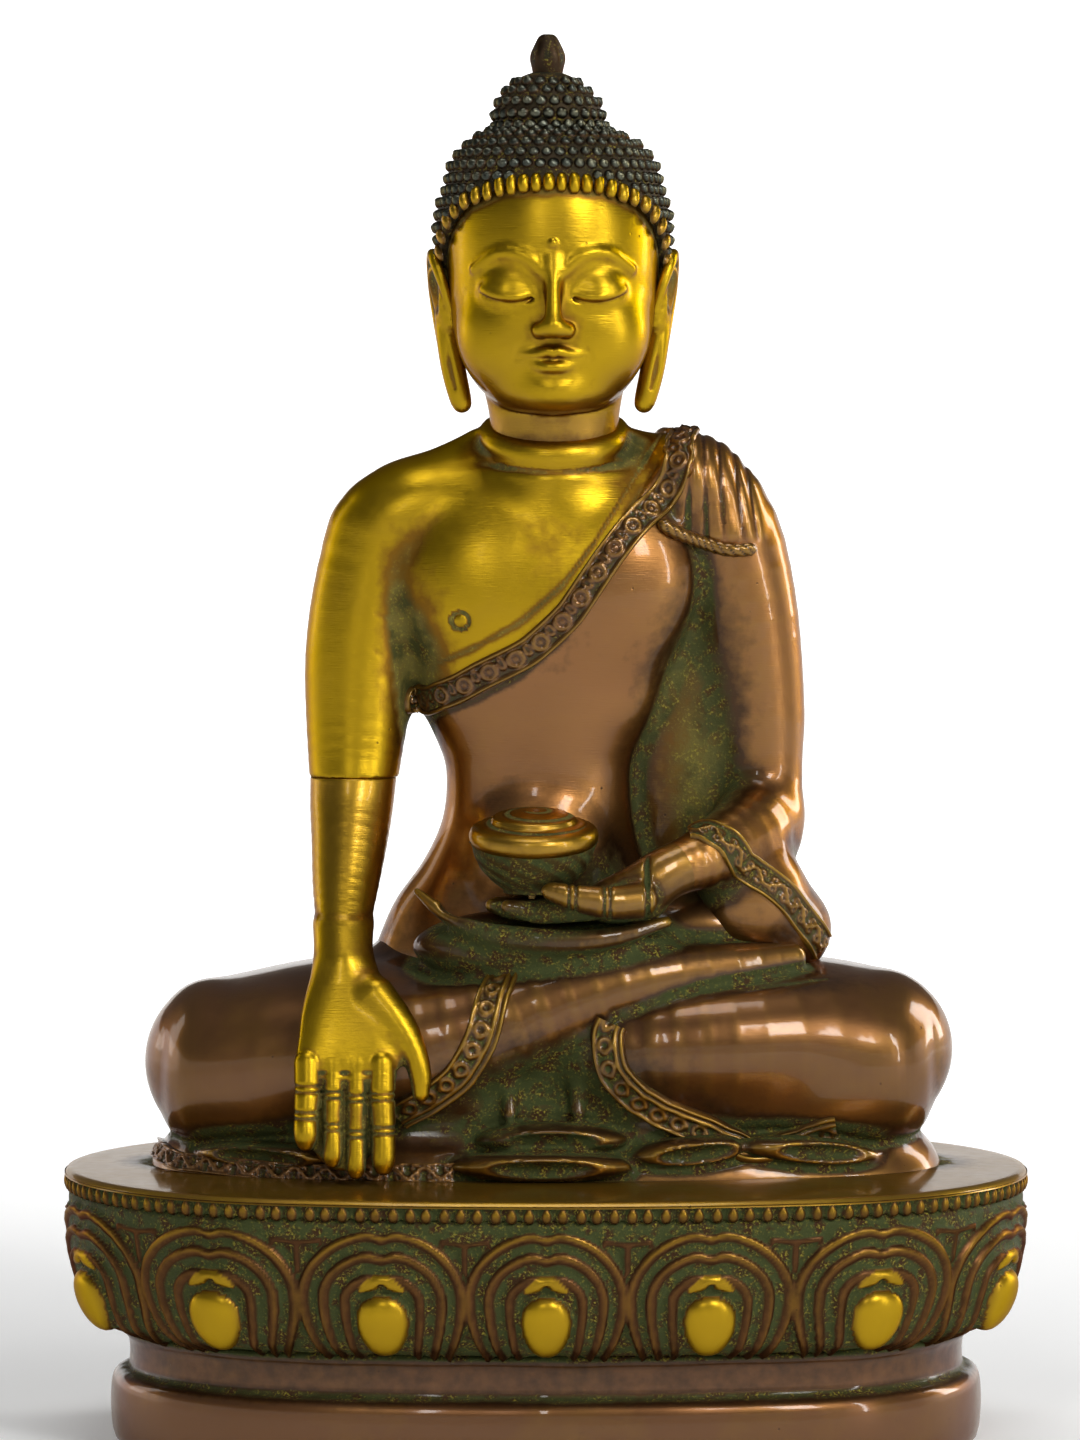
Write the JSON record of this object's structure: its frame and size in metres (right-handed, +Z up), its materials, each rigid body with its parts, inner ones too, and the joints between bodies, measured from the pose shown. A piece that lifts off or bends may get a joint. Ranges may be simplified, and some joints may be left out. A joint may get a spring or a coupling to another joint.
{
  "type": "buddha statue",
  "caption": "Seated brass Buddha with an alms bowl on an oval lotus pedestal, cast in parts, pinned and brazed, consecration filling inside.",
  "frame": {"origin": "centre of the pedestal's footprint, on the surface that the statue stands on", "axes": "+Z up, -Y is the way the figure faces, +X is towards the figure's own left hand"},
  "size_m": [0.1402, 0.0896, 0.2016],
  "materials": {
    "pedestal_bronze": "brown patina, verdigris in the petals, polished bosses",
    "copper_sheet": "dull hammered copper sheet",
    "robe_copper": "satin copper-brown patina",
    "pin_brass": "drawn brass rod",
    "skin_brass": "brushed brass, worn bright",
    "hand_bronze": "satin brown brass",
    "bowl_bronze": "dark green patina",
    "head_brass": "brushed brass face, blackened hair",
    "hair_bronze": "blackened, worn tips",
    "rod_wood": "planed softwood, stained red",
    "scroll_paper": "rolled handmade paper, tied"
  },
  "bodies": {
    "root": {"lotus_pedestal": "pedestal_bronze", "base_plate": "copper_sheet", "figure_body": "robe_copper", "lug_pin_right": "pin_brass", "lug_pin_left": "pin_brass", "right_forearm": "skin_brass", "elbow_pin": "pin_brass", "left_hand": "hand_bronze", "alms_bowl": "bowl_bronze", "bowl_lid": "skin_brass", "bowl_rivet": "pin_brass", "head": "head_brass", "crown_jewel": "hair_bronze", "life_tree": "rod_wood", "mantra_scrolls": "scroll_paper"}
  },
  "joints": []
}
